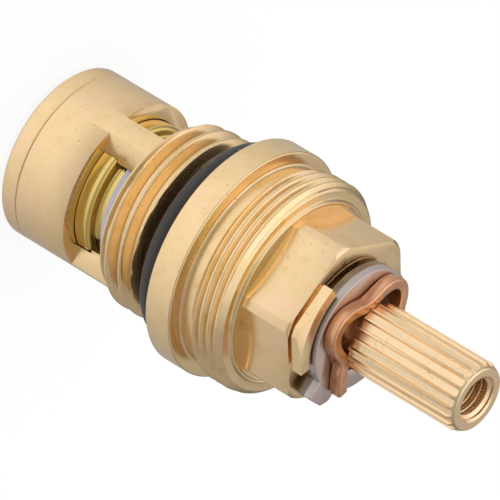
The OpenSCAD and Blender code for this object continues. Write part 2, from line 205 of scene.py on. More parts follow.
world = bpy.data.worlds.new("studio")
bpy.context.scene.world = world
world.use_nodes = True
world.cycles.sampling_method = "NONE"
tree = world.node_tree
tree.nodes.clear()
way = put(tree, "ShaderNodeTexCoord").outputs["Generated"]
table = ramp(tree, facing(tree, way, TABLE_WAY), -0.87, 0.87, *TABLE_RANGE, "LINEAR")
tilt = facing(tree, way, (0.0, 0.0, 1.0))
table = maths(tree, "MULTIPLY", table, ramp(tree, tilt, -0.42, -0.05, 1.0, HORIZON_LEVEL))
room = blend(tree, ramp(tree, facing(tree, way, BOX_WAY), 0.38, 0.78, 0.0, 1.0), ROOM_LEVEL, BOX_LEVEL)
above = ramp(tree, tilt, 0.0, 0.3, 0.0, 1.0)
metal_sees = blend(tree, above, table, room)
rays = put(tree, "ShaderNodeLightPath")
seen = blend(tree, rays.outputs["Is Glossy Ray"], FILL_LEVEL, metal_sees)
clear_view = maths(tree, "MAXIMUM", rays.outputs["Is Camera Ray"], rays.outputs["Is Transmission Ray"])
room_seen = ramp(tree, facing(tree, way, (0.0, -0.87, 0.5)), 0.7, 0.95, 0.0, 1.0)
room_seen = maths(tree, "MULTIPLY", maths(tree, "MULTIPLY", room_seen, above), rays.outputs["Is Glossy Ray"])
tinted = put(tree, "ShaderNodeMix", {6: (1, 1, 1, 1), 7: ROOM_TINT}, data_type="RGBA")
join(tree, room_seen, tinted.inputs[0])
background = put(tree, "ShaderNodeBackground")
join(tree, tinted.outputs[2], background.inputs["Color"])
join(tree, blend(tree, clear_view, seen, 1.0), background.inputs["Strength"])
world_out = put(tree, "ShaderNodeOutputWorld")
join(tree, background.outputs[0], world_out.inputs["Surface"])

# %% Floor
FLOOR_SIZE = 4.0
FLOOR_GLOW = 0.85

bpy.ops.mesh.primitive_plane_add(size=FLOOR_SIZE)
floor = bpy.context.object
floor.name = "floor"
floor_material = bpy.data.materials.new("floor_white")
floor_material.use_nodes = True
tree = floor_material.node_tree
tree.nodes.clear()
rays = put(tree, "ShaderNodeLightPath")
matt = put(tree, "ShaderNodeBsdfDiffuse", {"Color": (1, 1, 1, 1)})
glow = put(tree, "ShaderNodeEmission", {"Color": (1, 1, 1, 1), "Strength": 1.0})
open_view = put(tree, "ShaderNodeBsdfTransparent")
seen_mix = put(tree, "ShaderNodeMixShader")
join(tree, maths(tree, "MULTIPLY", rays.outputs["Is Camera Ray"], FLOOR_GLOW), seen_mix.inputs[0])
join(tree, matt.outputs[0], seen_mix.inputs[1])
join(tree, glow.outputs[0], seen_mix.inputs[2])
floor_mix = put(tree, "ShaderNodeMixShader")
join(tree, rays.outputs["Is Glossy Ray"], floor_mix.inputs[0])
join(tree, seen_mix.outputs[0], floor_mix.inputs[1])
join(tree, open_view.outputs[0], floor_mix.inputs[2])
floor_out = put(tree, "ShaderNodeOutputMaterial")
join(tree, floor_mix.outputs[0], floor_out.inputs["Surface"])
floor.data.materials.append(floor_material)


def soft_lamp(name, place, size, power):
    """A square area lamp that looks at the middle of the part."""
    data = bpy.data.lights.new(name, "AREA")
    data.size = size
    data.energy = power
    lamp = bpy.data.objects.new(name, data)
    bpy.context.scene.collection.objects.link(lamp)
    lamp.location = place
    target = Vector((0, 0, 0.025))
    lamp.rotation_euler = (target - lamp.location).to_track_quat("-Z", "Y").to_euler()
    return lamp


key = soft_lamp("key", Vector((-0.28, 0.02, 0.74)), 0.7, 0.5)
bpy.context.scene.view_settings.view_transform = "Standard"

# %% [markdown]
# ## A kit for turned parts
# Nearly everything here came off a lathe. Patches are welded into one mesh. A thread is a patch whose
# rows climb by one pitch in a full turn, so its last column joins the first one a turn higher. That is
# what makes a thread a thread. No machined corner is truly sharp, so outlines are eased: each corner
# becomes a tiny curve.


# %% Outline helpers
def eased(points, size, steps=3):
    """The outline with each inner corner swapped for a small curve that starts size before it."""
    out = [points[0]]
    for before, corner, after in zip(points, points[1:], points[2:]):
        before, corner, after = (np.array(point, float) for point in (before, corner, after))
        to_before, to_after = before - corner, after - corner
        reach = min(size, np.linalg.norm(to_before) / 2, np.linalg.norm(to_after) / 2)
        start = corner + to_before / np.linalg.norm(to_before) * reach
        end = corner + to_after / np.linalg.norm(to_after) * reach
        for step in range(steps + 1):
            t = step / steps
            out.append(tuple((1 - t) ** 2 * start + 2 * t * (1 - t) * corner + t ** 2 * end))
    out.append(points[-1])
    return out


def arc(centre, radius, start, end, steps=8):
    """Points of an arc in the outline's plane, angles in degrees."""
    angles = np.radians(np.linspace(start, end, steps + 1))
    return [(centre[0] + radius * math.cos(a), centre[1] + radius * math.sin(a)) for a in angles]


def even_angles(count):
    """Angles of the columns of a patch, from minus half a turn up."""
    return -math.pi + 2 * math.pi * np.arange(count) / count


# %% Mesh helpers
def patch(bm, radius, height, angles, climb=0):
    """Adds a grid to the mesh: one row per ring, one column per angle, in millimetres.
    climb is the number of rows that make one pitch: the last column joins the first that much higher."""
    rows, columns = radius.shape
    x = radius * np.cos(angles) * MM
    y = radius * np.sin(angles) * MM
    points = [[bm.verts.new((x[i, j], y[i, j], height[i, j] * MM)) for j in range(columns)]
              for i in range(rows)]
    for i in range(rows - 1):
        for j in range(columns - 1):
            bm.faces.new((points[i][j], points[i][j + 1], points[i + 1][j + 1], points[i + 1][j]))
        foot = min(i + climb, rows - 1)
        head = min(i + climb + 1, rows - 1)
        corners = [points[i][-1], points[foot][0], points[head][0], points[i + 1][-1]]
        if foot == head:
            del corners[2]
        bm.faces.new(corners)


def ring_patch(bm, outline, angles):
    """Spins an outline of (radius, height) points."""
    table = np.array(outline, float)
    shape = (len(table), len(angles))
    radius = np.broadcast_to(table[:, :1], shape)
    height = np.broadcast_to(table[:, 1:], shape)
    patch(bm, radius, height, angles)


def soft_min(a, b, blend):
    """The smaller of two values, with the corner between them rounded off."""
    near = np.maximum(blend - np.abs(a - b), 0)
    return np.minimum(a, b) - near ** 2 / (4 * blend)


def thread_rows(crest_edge, root_edge, spread=0.022):
    """Places along one pitch, as shares of it, that catch the corners of crest and root."""
    half = [0.0]
    for edge in (crest_edge, root_edge):
        half += [edge - spread, edge, edge + spread]
    half += list(np.linspace(crest_edge + 2 * spread, root_edge - 2 * spread, 4))
    half = sorted(half)
    return [-share for share in reversed(half[1:])] + half


def thread_patch(bm, foot, top, thread, angles, foot_r, foot_rise, top_r, top_rise):
    """A helical thread between two heights. It starts at foot_r and ends at top_r, and there it grows
    out by foot_rise and top_rise millimetres for each millimetre along the axis."""
    pitch, crest_z, crest_r, root_r, crest_edge, root_edge, crest_blend, root_blend = thread
    shares = thread_rows(crest_edge, root_edge)
    first = math.floor((foot - crest_z) / pitch) - 2
    last = math.ceil((top - crest_z) / pitch) + 2
    places = np.array([turn + share for turn in range(first, last) for share in shares])
    level = (root_edge - np.abs(places - np.round(places))) / (root_edge - crest_edge)
    level = -soft_min(-level, np.zeros_like(level), root_blend)
    level = soft_min(level, np.ones_like(level), crest_blend)
    rows = root_r + (crest_r - root_r) * level
    height = crest_z + pitch * (places[:, None] + angles[None, :] / (2 * math.pi))
    height = np.clip(height, foot, top)
    radius = np.broadcast_to(rows[:, None], height.shape)
    inward = crest_r < root_r
    sign = -1 if inward else 1
    limit = np.minimum(sign * foot_r + (height - foot) * foot_rise, sign * top_r + (top - height) * top_rise)
    radius = sign * np.minimum(sign * radius, limit)
    patch(bm, radius, height, angles, climb=len(shares))


def solid(bm, name, material, body, nodes=(), sharp=32, flip=False):
    """Welds the patches into one closed mesh and makes it a piece of the scene."""
    bmesh.ops.remove_doubles(bm, verts=bm.verts, dist=2e-7)
    bmesh.ops.dissolve_degenerate(bm, edges=bm.edges, dist=1e-7)
    bmesh.ops.recalc_face_normals(bm, faces=bm.faces)
    if flip:
        bmesh.ops.reverse_faces(bm, faces=bm.faces)
    mesh = bpy.data.meshes.new(name)
    bm.to_mesh(mesh)
    bm.free()
    return piece_of(mesh, name, material, body, nodes, sharp)


def piece_of(mesh, name, material, body, nodes=(), sharp=32):
    """Makes a mesh a piece with its material that rides on a body and stands for CAD nodes."""
    mesh.shade_smooth()
    mesh.set_sharp_from_angle(angle=math.radians(sharp))
    mesh.materials.clear()
    mesh.materials.append(material)
    piece = bpy.data.objects.new(name, mesh)
    bpy.context.scene.collection.objects.link(piece)
    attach(piece, body)
    if nodes:
        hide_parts(*nodes)
    open_edges = sum(1 for edge in mesh_edges(mesh) if edge != 2)
    print(name, "faces", len(mesh.polygons), "open edges", open_edges)
    return piece


def mesh_edges(mesh):
    """How many faces meet at each edge of a mesh."""
    count = {}
    for polygon in mesh.polygons:
        for key_pair in polygon.edge_keys:
            count[key_pair] = count.get(key_pair, 0) + 1
    return count.values()


# %% [markdown]
# ## Metal finish, as one shared group
# Turned brass shows three things close up: very fine lines that run round the axis, a soft cloudiness in
# its colour, and a few tiny pits. One node group makes all three from the point's place on the part, so
# cage, threads and stem share a look while each material sets its own strengths.
# The group hands out a colour, a roughness and a height. The shader itself stays in each material.

# %% Metal group
group = bpy.data.node_groups.new("worked_metal", "ShaderNodeTree")
for name, kind, value in [
    ("Color", "NodeSocketColor", (0.9, 0.65, 0.36, 1)),
    ("Cloud Color", "NodeSocketColor", (0.8, 0.5, 0.22, 1)),
    ("Blush Color", "NodeSocketColor", (0.9, 0.6, 0.4, 1)),
    ("Cloud", "NodeSocketFloat", 0.25),
    ("Roughness", "NodeSocketFloat", 0.3),
    ("Lines", "NodeSocketFloat", 0.5),
    ("Grain", "NodeSocketFloat", 0.5),
    ("Pits", "NodeSocketFloat", 0.5),
]:
    socket = group.interface.new_socket(name, in_out="INPUT", socket_type=kind)
    socket.default_value = value
for name, kind in [("Color", "NodeSocketColor"), ("Roughness", "NodeSocketFloat"),
                   ("Height", "NodeSocketFloat")]:
    group.interface.new_socket(name, in_out="OUTPUT", socket_type=kind)

entry = put(group, "NodeGroupInput")
exit_node = put(group, "NodeGroupOutput")
place = put(group, "ShaderNodeTexCoord")
split = put(group, "ShaderNodeSeparateXYZ")
join(group, place.outputs["Object"], split.inputs[0])
square_x = maths(group, "MULTIPLY", split.outputs["X"], split.outputs["X"])
square_y = maths(group, "MULTIPLY", split.outputs["Y"], split.outputs["Y"])
from_axis = maths(group, "SQRT", maths(group, "ADD", square_x, square_y))
along = maths(group, "ADD", from_axis, split.outputs["Z"])
line_place = put(group, "ShaderNodeCombineXYZ")
join(group, maths(group, "MULTIPLY", along, 9.0), line_place.inputs["X"])
join(group, maths(group, "MULTIPLY", split.outputs["X"], 0.08), line_place.inputs["Y"])
join(group, maths(group, "MULTIPLY", split.outputs["Y"], 0.08), line_place.inputs["Z"])
lines = put(group, "ShaderNodeTexNoise", {"Scale": 1100, "Detail": 3.0, "Roughness": 0.6})
join(group, line_place.outputs[0], lines.inputs["Vector"])
grain = put(group, "ShaderNodeTexNoise", {"Scale": 5200, "Detail": 3.0, "Roughness": 0.65})
join(group, place.outputs["Object"], grain.inputs["Vector"])
clouds = put(group, "ShaderNodeTexNoise", {"Scale": 420, "Detail": 4.0, "Roughness": 0.6})
join(group, place.outputs["Object"], clouds.inputs["Vector"])
pits = put(group, "ShaderNodeTexVoronoi", {"Scale": 1300, "Randomness": 1.0})
join(group, place.outputs["Object"], pits.inputs["Vector"])
pit_pick = put(group, "ShaderNodeSeparateColor")
join(group, pits.outputs["Color"], pit_pick.inputs[0])
pit_near = put(group, "ShaderNodeMapRange", {"From Min": 0.13, "From Max": 0.05})
join(group, pits.outputs["Distance"], pit_near.inputs["Value"])
pit_rare = maths(group, "GREATER_THAN", pit_pick.outputs[0], 0.72)
pit = maths(group, "MULTIPLY", maths(group, "MULTIPLY", pit_near.outputs[0], pit_rare), entry.outputs["Pits"])

cloud_range = put(group, "ShaderNodeMapRange", {"From Min": 0.38, "From Max": 0.68})
join(group, clouds.outputs["Fac"], cloud_range.inputs["Value"])
cloud_share = maths(group, "MULTIPLY", cloud_range.outputs[0], entry.outputs["Cloud"])
grain_range = put(group, "ShaderNodeMapRange", {"From Min": 0.35, "From Max": 0.7, "To Max": 0.35})
join(group, grain.outputs["Fac"], grain_range.inputs["Value"])
grain_share = maths(group, "MULTIPLY", grain_range.outputs[0], entry.outputs["Grain"])
tint_share = maths(group, "ADD", cloud_share, grain_share, clamp=True)
tint = put(group, "ShaderNodeMix", data_type="RGBA")
join(group, tint_share, tint.inputs[0])
join(group, entry.outputs["Color"], tint.inputs[6])
join(group, entry.outputs["Cloud Color"], tint.inputs[7])
blush_noise = put(group, "ShaderNodeTexNoise", {"Scale": 190, "Detail": 5.0, "Roughness": 0.7})
join(group, place.outputs["Object"], blush_noise.inputs["Vector"])
blush_range = put(group, "ShaderNodeMapRange", {"From Min": 0.5, "From Max": 0.66})
join(group, blush_noise.outputs["Fac"], blush_range.inputs["Value"])
blush = put(group, "ShaderNodeMix", data_type="RGBA")
join(group, maths(group, "MULTIPLY", blush_range.outputs[0], 0.8), blush.inputs[0])
join(group, tint.outputs[2], blush.inputs[6])
join(group, entry.outputs["Blush Color"], blush.inputs[7])
vein_place = maths(group, "ABSOLUTE", maths(group, "SUBTRACT", blush_noise.outputs["Fac"], 0.47))
vein = put(group, "ShaderNodeMapRange", {"From Min": 0.012, "From Max": 0.002})
join(group, vein_place, vein.inputs["Value"])
vein_patch = put(group, "ShaderNodeMapRange", {"From Min": 0.50, "From Max": 0.62, "To Max": 0.20})
join(group, clouds.outputs["Fac"], vein_patch.inputs["Value"])
vein_share = maths(group, "MULTIPLY", vein.outputs[0], vein_patch.outputs[0])
darken = put(group, "ShaderNodeMix", {7: (0.16, 0.09, 0.03, 1)}, data_type="RGBA")
join(group, maths(group, "MAXIMUM", maths(group, "MULTIPLY", pit, 0.55), vein_share), darken.inputs[0])
join(group, blush.outputs[2], darken.inputs[6])
join(group, darken.outputs[2], exit_node.inputs["Color"])

line_height = maths(group, "MULTIPLY", lines.outputs["Fac"], entry.outputs["Lines"])
grain_height = maths(group, "MULTIPLY", grain.outputs["Fac"], entry.outputs["Grain"])
rough_noise = maths(group, "MULTIPLY", maths(group, "ADD", line_height, grain_height), 0.2)
rough = maths(group, "ADD", entry.outputs["Roughness"], rough_noise, clamp=True)
join(group, rough, exit_node.inputs["Roughness"])

height = maths(group, "SUBTRACT", maths(group, "ADD", line_height, grain_height),
               maths(group, "MULTIPLY", pit, 2.5))
join(group, height, exit_node.inputs["Height"])


# %% Metal materials
def metal(name, color, cloud_color, blush_color, roughness, cloud=0.25, lines=0.5, grain=0.5, pits=0.5, depth=0.006):
    """A metal that takes its colour, roughness and bumps from the shared group. depth is in millimetres."""
    material = bpy.data.materials.new(name)
    material.use_nodes = True
    tree = material.node_tree
    shader = tree.nodes["Principled BSDF"]
    shader.inputs["Metallic"].default_value = 1.0
    finish = put(tree, "ShaderNodeGroup", node_tree=bpy.data.node_groups["worked_metal"])
    finish.inputs["Color"].default_value = (*color, 1)
    finish.inputs["Cloud Color"].default_value = (*cloud_color, 1)
    finish.inputs["Blush Color"].default_value = (*blush_color, 1)
    for socket, value in [("Roughness", roughness), ("Cloud", cloud), ("Lines", lines), ("Grain", grain),
                          ("Pits", pits)]:
        finish.inputs[socket].default_value = value
    bump = put(tree, "ShaderNodeBump", {"Strength": 1.0, "Distance": depth * MM})
    join(tree, finish.outputs["Color"], shader.inputs["Base Color"])
    join(tree, finish.outputs["Roughness"], shader.inputs["Roughness"])
    join(tree, finish.outputs["Height"], bump.inputs["Height"])
    join(tree, bump.outputs[0], shader.inputs["Normal"])
    return material


BRASS = (0.945, 0.690, 0.385)
BRASS_DEEP = (0.830, 0.590, 0.270)
# Paler stem brass: partly its own cut finish, partly painted light for the brightness that its rough spline catches.
BRASS_CUT_AND_PAINTED_LIGHT = (0.985, 0.735, 0.455)
# Painted shade: a darker olive brass that stands in for the shade and brass inter-reflection inside the cage.
BRASS_PAINTED_CAGE_SHADE = (0.830, 0.610, 0.200)
BLUSH = (0.960, 0.665, 0.430)
COPPER = (0.860, 0.460, 0.270)
COPPER_DEEP = (0.520, 0.230, 0.120)
# Washer steel: partly its own brown-grey tone, partly painted reflection of the brass beside its lower band.
STEEL = (0.350, 0.300, 0.255)
STEEL_DEEP = (0.200, 0.170, 0.150)

brass_cast = metal("brass_satin", BRASS, BRASS_DEEP, BLUSH, 0.23, cloud=0.45, lines=0.03, grain=0.10, pits=1.0, depth=0.004)
brass_turned = metal("brass_turned", BRASS, BRASS_DEEP, BLUSH, 0.14, cloud=0.45, lines=0.60, grain=0.10, pits=1.0, depth=0.004)
brass_stem = metal("brass_stem", BRASS_CUT_AND_PAINTED_LIGHT, BRASS, BLUSH, 0.25, cloud=0.30, lines=0.10, grain=0.05, pits=0.4, depth=0.003)
steel = metal("stamped_steel", STEEL, STEEL_DEEP, STEEL, 0.36, cloud=0.5, lines=0.1, grain=0.8, pits=0.6)
copper = metal("spring_bronze", COPPER, COPPER_DEEP, COPPER, 0.24, cloud=0.60, lines=0.1, grain=0.4, pits=0.2)


def banded(material, height, width, color, roughness):
    """Gives a metal another colour and roughness above a height, or below it where width is negative."""
    tree = material.node_tree
    shader = tree.nodes["Principled BSDF"]
    place = put(tree, "ShaderNodeTexCoord")
    split = put(tree, "ShaderNodeSeparateXYZ")
    join(tree, place.outputs["Object"], split.inputs[0])
    wobble = put(tree, "ShaderNodeTexNoise", {"Scale": 900.0, "Detail": 3.0})
    join(tree, place.outputs["Object"], wobble.inputs["Vector"])
    shift = maths(tree, "MULTIPLY", maths(tree, "SUBTRACT", wobble.outputs["Fac"], 0.5), abs(width) * MM * 3)
    share = ramp(tree, maths(tree, "ADD", split.outputs["Z"], shift), (height - width) * MM,
                 (height + width) * MM, 0.0, 1.0)
    tint = put(tree, "ShaderNodeMix", {7: (*color, 1)}, data_type="RGBA")
    join(tree, share, tint.inputs[0])
    join(tree, shader.inputs["Base Color"].links[0].from_socket, tint.inputs[6])
    join(tree, tint.outputs[2], shader.inputs["Base Color"])
    join(tree, blend(tree, share, shader.inputs["Roughness"].links[0].from_socket, roughness),
         shader.inputs["Roughness"])


# Above mid-height the washer turns lighter and rougher. The darker lower band is partly painted reflection of the
# brass.
banded(steel, (washer_foot + washer_top) / 2, 0.05, (0.610, 0.535, 0.520), 0.42)
banded(steel, washer_top - 0.02, 0.03, (0.620, 0.500, 0.440), 0.30)
# Painted shade: below the window tops the stem takes the darker olive brass of the cage's inside.
banded(brass_stem, window_foot + 5.1, -0.4, BRASS_PAINTED_CAGE_SHADE, 0.18)

# %% [markdown]
# ## Rubber, plastic and ceramic
# The soft and pale pieces reflect little, so their look is in the roughness and in a slight unevenness.
# Rubber gets a fine bump and a few specks of dust, the plastics a faint mottle, and the ground ceramic
# is nearly flawless, with a gloss that only wavers.


# %% Plain materials
def dull(name, color, other, roughness, spots=0.0, spread=0.4, depth=0.004, scale=2400):
    """A non-metal whose colour drifts to another, with a fine bump and, for rubber, pale dust spots."""
    material = bpy.data.materials.new(name)
    material.use_nodes = True
    tree = material.node_tree
    shader = tree.nodes["Principled BSDF"]
    place = put(tree, "ShaderNodeTexCoord")
    noise = put(tree, "ShaderNodeTexNoise", {"Scale": scale, "Detail": 4.0, "Roughness": 0.6})
    join(tree, place.outputs["Object"], noise.inputs["Vector"])
    drift = put(tree, "ShaderNodeMapRange", {"From Min": 0.35, "From Max": 0.7, "To Max": spread})
    join(tree, noise.outputs["Fac"], drift.inputs["Value"])
    mix = put(tree, "ShaderNodeMix", {6: (*color, 1), 7: (*other, 1)}, data_type="RGBA")
    join(tree, drift.outputs[0], mix.inputs[0])
    dust = put(tree, "ShaderNodeTexVoronoi", {"Scale": 700, "Randomness": 1.0})
    join(tree, place.outputs["Object"], dust.inputs["Vector"])
    near = put(tree, "ShaderNodeMapRange", {"From Min": 0.10, "From Max": 0.04, "To Max": spots})
    join(tree, dust.outputs["Distance"], near.inputs["Value"])
    dusty = put(tree, "ShaderNodeMix", {7: (0.62, 0.58, 0.52, 1)}, data_type="RGBA")
    join(tree, near.outputs[0], dusty.inputs[0])
    join(tree, mix.outputs[2], dusty.inputs[6])
    join(tree, dusty.outputs[2], shader.inputs["Base Color"])
    gloss = put(tree, "ShaderNodeMapRange", {"To Min": roughness - 0.06, "To Max": roughness + 0.08})
    join(tree, noise.outputs["Fac"], gloss.inputs["Value"])
    join(tree, gloss.outputs[0], shader.inputs["Roughness"])
    bump = put(tree, "ShaderNodeBump", {"Strength": 1.0, "Distance": depth * MM})
    join(tree, noise.outputs["Fac"], bump.inputs["Height"])
    join(tree, bump.outputs[0], shader.inputs["Normal"])
    return material


rubber = dull("black_rubber", (0.028, 0.023, 0.020), (0.055, 0.044, 0.036), 0.42, spots=0.5)
seal_rubber = dull("seal_rubber", (0.030, 0.028, 0.028), (0.060, 0.055, 0.052), 0.5, spots=0.2)
white_plastic = dull("white_plastic", (0.78, 0.78, 0.76), (0.68, 0.67, 0.65), 0.38)
# The slide ring is white plastic: its grey is painted shade for the dark inside of the cage where it sits.
grey_plastic = dull("grey_plastic", (0.52, 0.50, 0.56), (0.44, 0.42, 0.48), 0.42)
fixed_ceramic = dull("white_ceramic", (0.86, 0.86, 0.84), (0.80, 0.80, 0.78), 0.16, depth=0.001)
moving_ceramic = dull("cream_ceramic", (0.84, 0.80, 0.72), (0.78, 0.74, 0.66), 0.16, depth=0.001)

# %% [markdown]
# ## The end ring
# A brass ring closes the inlet end and holds the rubber seal. All that shows of it is a smooth band and
# the fine dark line where it meets the cage. That line is real here: a narrow groove between two eased
# corners, so it stays crisp from every side. The outline is closed, which makes the ring a solid.

# %% End ring
CAGE_R = 9.6
CAGE_BORE_R = 8.0
THROAT_R = 7.75
SPIGOT_R = 8.5
SEAL_R = 7.5
SEAL_LIP_R = 6.9
SEAL_BORE_R = 5.7
RING_LIP = 1.1
ROUND_COLUMNS = even_angles(288)


def turned_ring(name, outline, ease, material, body, nodes, angles=ROUND_COLUMNS):
    """A closed ring turned from an outline that comes back to its first point."""
    middle = tuple((np.array(outline[0]) + np.array(outline[1])) / 2)
    loop = [middle, *outline[1:], outline[0], middle]
    bm = bmesh.new()
    ring_patch(bm, eased(loop, ease), angles)
    return solid(bm, name, material, body, nodes)


ledge = ring_foot + RING_LIP
end_ring = turned_ring(
    "end_ring_turned",
    [(SEAL_LIP_R + SEAT_GAP, ring_foot), (CAGE_R - 2 * EDGE, ring_foot), (CAGE_R, ring_foot + 2 * EDGE),
     (CAGE_R, cage_foot - EDGE / 2), (CAGE_R - EDGE, cage_foot - SEAT_GAP),
     (SPIGOT_R - SEAT_GAP, cage_foot - SEAT_GAP),
     (SPIGOT_R - SEAT_GAP, disc_foot - SEAT_GAP), (SEAL_R + SEAT_GAP, disc_foot - SEAT_GAP),
     (SEAL_R + SEAT_GAP, ledge), (SEAL_LIP_R + SEAT_GAP, ledge)],
    0.08, brass_cast, "housing", ["end_ring"])

# %% [markdown]
# ## Seals, support ring and O-rings
# The seal is a rubber ring whose lip stands a little proud of the brass and presses on the tap's seat.
# A plastic ring inside keeps it round. The O-rings are plain tori with the fine parting line that a mould
# leaves on their outer side, drawn as a raised thread of rubber in the outline itself.

# %% Seals
SUPPORT_WALL = 0.6
SUPPORT_BACK = 0.6

inlet_seal = turned_ring(
    "inlet_seal_moulded",
    [(SEAL_BORE_R, 0.0), (SEAL_LIP_R - 0.9, 0.0), (SEAL_LIP_R - 0.7, 0.12), (SEAL_LIP_R - 0.5, 0.0),
     (SEAL_LIP_R, 0.15), (SEAL_LIP_R, ledge + SEAT_GAP), (SEAL_R, ledge + SEAT_GAP),
     (SEAL_R, disc_foot - SEAT_GAP), (SEAL_BORE_R, disc_foot - SEAT_GAP)],
    0.1, seal_rubber, "housing", ["inlet_seal"])
support_out = SEAL_BORE_R - SEAT_GAP
support_ring = turned_ring(
    "seal_support_ring_moulded",
    [(support_out - SUPPORT_WALL, SUPPORT_BACK), (support_out, SUPPORT_BACK),
     (support_out, disc_foot - SEAT_GAP), (support_out - SUPPORT_WALL, disc_foot - SEAT_GAP)],
    0.1, white_plastic, "housing", ["seal_support_ring"])


def oring(name, node, body):
    """A torus that fills its CAD node's box, with a fine mould line round its outside."""
    lowest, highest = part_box(node)
    outer = highest[0] / MM
    half = (highest[2] - lowest[2]) / MM / 2
    middle = (highest[2] + lowest[2]) / MM / 2
    bm = bmesh.new()
    outline = []
    for r, z in arc((0, 0), half, 0, 360, 48):
        flash = 0.03 * max(0.0, 1 - abs(z) / 0.05) if r > 0 else 0.0
        outline.append((outer - half - 0.03 + r + flash, middle + z))
    ring_patch(bm, outline, ROUND_COLUMNS)
    return solid(bm, name, rubber, body, [node], sharp=60)


oring("flange_oring_moulded", "flange_oring", "housing")
oring("stem_oring_lower_moulded", "stem_oring_lower", "stem")
oring("stem_oring_upper_moulded", "stem_oring_upper", "stem")

# %% [markdown]
# ## The housing's threads and flange
# The barrel carries a G 1/2 thread that screws into the tap, a groove for the flange O-ring, the broad
# flange, a hollow neck and a fine M24 x 1 thread for the cover sleeve. A stack of rings would look right
# only from the front, so both threads are helical patches. Each runs out in a cone, which gives the
# crescent where the first turn fades in. The crest is narrow and bright, and the root is rounded.

# %% Barrel
TAP_PITCH = 1.814
TAP_CREST_R = 10.4775
TAP_ROOT_R = 9.3155
TAP_LEAD = 0.35
TAP_TURNS = 3
RELIEF_R = 8.8
FLANGE_R = 12.75
FLANGE_H = 3.25
NECK_H = 1.85
NECK_R = 11.1
COVER_PITCH = 1.0
COVER_R = 12.0
COVER_ROOT_R = 11.4587
COVER_TURNS = 3
COVER_CHAMFER = 0.75
LIP_R = 10.15
LIP_H = 0.35
FOOT_DROP = 0.28
HEX_IN_R = 8.3
STEM_BORE_R = 6.04

tap_foot = housing_foot + TAP_LEAD
relief_foot = tap_foot + TAP_TURNS * TAP_PITCH
flange_top = flange_foot + FLANGE_H
cover_foot = flange_top + NECK_H
cover_land = cover_foot + COVER_TURNS * COVER_PITCH + COVER_PITCH / 2
collar = cover_land + COVER_CHAMFER * 0.77
hex_foot = collar - FOOT_DROP

tap_thread = (TAP_PITCH, tap_foot + TAP_PITCH * 0.75, TAP_CREST_R, TAP_ROOT_R, 1 / 12, 5 / 12, 0.12, 0.35)
cover_thread = (COVER_PITCH, cover_foot + COVER_PITCH * 0.75, COVER_R, COVER_ROOT_R, 1 / 16, 3 / 8, 0.2, 0.4)


def neck_arc():
    """The neck between the flange and the sleeve thread: a fillet, a straight wall and a small rise."""
    sag = COVER_ROOT_R - NECK_R
    return [(COVER_ROOT_R + 0.2, flange_top), *arc((NECK_R + 0.4, flange_top + 0.4), 0.4, 270, 180, 6),
            (NECK_R, cover_foot - 0.5), *arc((NECK_R + sag, cover_foot - 0.28), sag, 180, 110, 5),
            (COVER_ROOT_R, cover_foot)]


bm = bmesh.new()
ring_patch(bm, eased([(STEM_BORE_R, hex_foot), (STEM_BORE_R, housing_foot), (TAP_ROOT_R, housing_foot),
                      (TAP_ROOT_R, tap_foot)], 0.06), ROUND_COLUMNS)
thread_patch(bm, tap_foot, relief_foot, tap_thread, ROUND_COLUMNS, TAP_ROOT_R, 1.4, TAP_ROOT_R - 0.35, 1.8)
ring_patch(bm, eased([(TAP_ROOT_R - 0.35, relief_foot), (RELIEF_R, relief_foot + TAP_ROOT_R - RELIEF_R),
                      (RELIEF_R, flange_foot), (FLANGE_R - EDGE, flange_foot),
                      (FLANGE_R, flange_foot + EDGE), (FLANGE_R, flange_top - EDGE),
                      (FLANGE_R - EDGE, flange_top), neck_arc()[0]], 0.07), ROUND_COLUMNS)
ring_patch(bm, neck_arc(), ROUND_COLUMNS)
thread_patch(bm, cover_foot, collar, cover_thread, ROUND_COLUMNS, COVER_ROOT_R, 1.0,
             COVER_R - COVER_CHAMFER, 1.3)
ring_patch(bm, eased([(COVER_R - COVER_CHAMFER, collar), (LIP_R + 0.25, collar), (LIP_R + 0.05, collar + LIP_H),
                      (LIP_R - 0.1, collar + LIP_H), (LIP_R - 0.35, collar + LIP_H / 2),
                      (HEX_IN_R, collar + LIP_H / 2), (HEX_IN_R, hex_foot), (STEM_BORE_R, hex_foot)], 0.05),
           ROUND_COLUMNS)
barrel = solid(bm, "housing_threads", brass_turned, "housing", ["body"])

# %% [markdown]
# ## The outlet cage
# Below the threads the housing is a thin tube, and three flats are milled through its wall. What is left
# between them are three legs. The tube is turned first and the flats are then cut with Boolean
# modifiers, just as the real cage is turned and then milled. A small bevel eases only the new edges.

# %% Modifier helpers
WINDOW_FLAT = 5.9
WINDOW_TURN = -62.5
WINDOW_COUNT = 3
WINDOW_H = 5.1


def block(corner, size, turn=0.0):
    """A box from a corner and a size in millimetres, turned about the axis by degrees."""
    bm = bmesh.new()
    bmesh.ops.create_cube(bm, size=1.0)
    middle = Vector(corner) + Vector(size) / 2
    bmesh.ops.scale(bm, vec=Vector(size) * MM, verts=bm.verts)
    bmesh.ops.translate(bm, vec=middle * MM, verts=bm.verts)
    bmesh.ops.rotate(bm, matrix=Matrix.Rotation(math.radians(turn), 3, "Z"), verts=bm.verts)
    return cutter(bm)


def cutter(bm):
    """A helper object for a Boolean."""
    bmesh.ops.remove_doubles(bm, verts=bm.verts, dist=2e-7)
    bmesh.ops.recalc_face_normals(bm, faces=bm.faces)
    mesh = bpy.data.meshes.new("cutter")
    bm.to_mesh(mesh)
    bm.free()
    thing = bpy.data.objects.new("cutter", mesh)
    bpy.context.scene.collection.objects.link(thing)
    return thing


